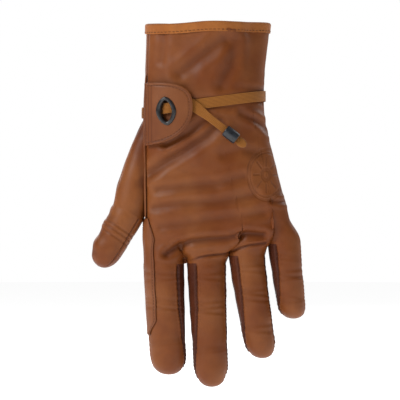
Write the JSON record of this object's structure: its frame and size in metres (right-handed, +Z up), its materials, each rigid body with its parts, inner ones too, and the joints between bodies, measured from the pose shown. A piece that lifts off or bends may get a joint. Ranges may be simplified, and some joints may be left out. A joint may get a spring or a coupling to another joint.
{
  "type": "riding glove",
  "caption": "Left-hand leather riding glove with a bound cuff, side-seam tab with an oval eyelet, drawn wrist tape with a bead, and hinged finger and thumb stalls.",
  "frame": {"origin": "centre of the cuff mouth, where the wearer's hand goes in", "axes": "+Z up, out of the cuff along the forearm; fingers point down -Z; the back of the hand faces -Y and the palm +Y; the thumb is at -X"},
  "size_m": [0.1558, 0.0615, 0.2655],
  "materials": {
    "back_leather": "smooth, semi-matt, with soft creases",
    "palm_leather": "smooth, semi-matt",
    "side_leather": "smooth, in shade",
    "patch_leather": "smooth, semi-matt",
    "binding_leather": "soft napped leather",
    "tape": "woven, matt, ribbed lengthwise",
    "bead": "smooth, glossy",
    "eyelet": "moulded, glossy",
    "lining": "matt split leather"
  },
  "bodies": {
    "hand": {"back_panel": "back_leather", "palm_panel": "palm_leather", "thumb_root_back": "back_leather", "thumb_root_palm": "palm_leather", "cuff_binding": "binding_leather", "side_welt": "back_leather", "wrist_tape": "tape", "patch_hand": "patch_leather"},
    "index_base": {"index_back_base": "back_leather", "index_palm_base": "palm_leather", "index_strip_base": "side_leather", "patch_index_base": "patch_leather"},
    "index_end": {"index_back_end": "back_leather", "index_palm_end": "palm_leather", "index_strip_end": "side_leather", "patch_index_end": "patch_leather"},
    "middle_base": {"middle_back_base": "back_leather", "middle_palm_base": "palm_leather", "middle_thumb_strip_base": "side_leather", "middle_outer_strip_base": "side_leather"},
    "middle_end": {"middle_back_end": "back_leather", "middle_palm_end": "palm_leather", "middle_thumb_strip_end": "side_leather", "middle_outer_strip_end": "side_leather"},
    "ring_base": {"ring_back_base": "back_leather", "ring_palm_base": "palm_leather", "ring_thumb_strip_base": "side_leather", "ring_outer_strip_base": "side_leather"},
    "ring_end": {"ring_back_end": "back_leather", "ring_palm_end": "palm_leather", "ring_thumb_strip_end": "side_leather", "ring_outer_strip_end": "side_leather"},
    "little_base": {"little_back_base": "back_leather", "little_palm_base": "palm_leather", "little_strip_base": "side_leather"},
    "little_end": {"little_back_end": "back_leather", "little_palm_end": "palm_leather", "little_strip_end": "side_leather"},
    "thumb": {"thumb_back": "back_leather", "thumb_palm": "palm_leather"},
    "tab": {"tab_face": "back_leather", "tab_lining": "lining", "eyelet": "eyelet"},
    "tape_tail": {"tape_tail": "tape", "tape_end_loop": "tape"},
    "bead": {"bead": "bead"}
  },
  "joints": [
    {"name": "index_root_bend", "type": "hinge", "parent": "hand", "child": "index_base", "pos_m": [-0.0317, 0.0139, -0.175], "axis": [1, 0, 0], "range_deg": [0, 70]},
    {"name": "index_middle_bend", "type": "hinge", "parent": "index_base", "child": "index_end", "pos_m": [-0.03083, 0.01435, -0.204], "axis": [1, 0, 0], "range_deg": [0, 80]},
    {"name": "middle_root_bend", "type": "hinge", "parent": "hand", "child": "middle_base", "pos_m": [-0.0012, 0.0129, -0.1745], "axis": [1, 0, 0], "range_deg": [0, 70]},
    {"name": "middle_middle_bend", "type": "hinge", "parent": "middle_base", "child": "middle_end", "pos_m": [-0.00006, 0.01333, -0.2065], "axis": [1, 0, 0], "range_deg": [0, 80]},
    {"name": "ring_root_bend", "type": "hinge", "parent": "hand", "child": "ring_base", "pos_m": [0.0283, 0.0124, -0.169], "axis": [1, 0, 0], "range_deg": [0, 70]},
    {"name": "ring_middle_bend", "type": "hinge", "parent": "ring_base", "child": "ring_end", "pos_m": [0.0318, 0.01292, -0.197], "axis": [1, 0, 0], "range_deg": [0, 80]},
    {"name": "little_root_bend", "type": "hinge", "parent": "hand", "child": "little_base", "pos_m": [0.0556, 0.0109, -0.1605], "axis": [1, 0, 0], "range_deg": [0, 70]},
    {"name": "little_middle_bend", "type": "hinge", "parent": "little_base", "child": "little_end", "pos_m": [0.05793, 0.0116, -0.1825], "axis": [1, 0, 0], "range_deg": [0, 80]},
    {"name": "thumb_bend", "type": "hinge", "parent": "hand", "child": "thumb", "pos_m": [-0.05813, 0.0119, -0.13744], "axis": [0.8746, 0, -0.4848], "range_deg": [0, 50]},
    {"name": "tab_lift", "type": "hinge", "parent": "hand", "child": "tab", "pos_m": [-0.049, -0.01397, -0.0628], "axis": [0, 0, -1], "range_deg": [0, 80]},
    {"name": "tail_swing", "type": "hinge", "parent": "hand", "child": "tape_tail", "pos_m": [-0.0116, -0.02563, -0.05977], "axis": [0, -1, 0], "range_deg": [-10, 20]},
    {"name": "bead_slide", "type": "slide", "parent": "tape_tail", "child": "bead", "axis": [0.788, 0, -0.6157], "range_m": [-0.008, 0]}
  ]
}
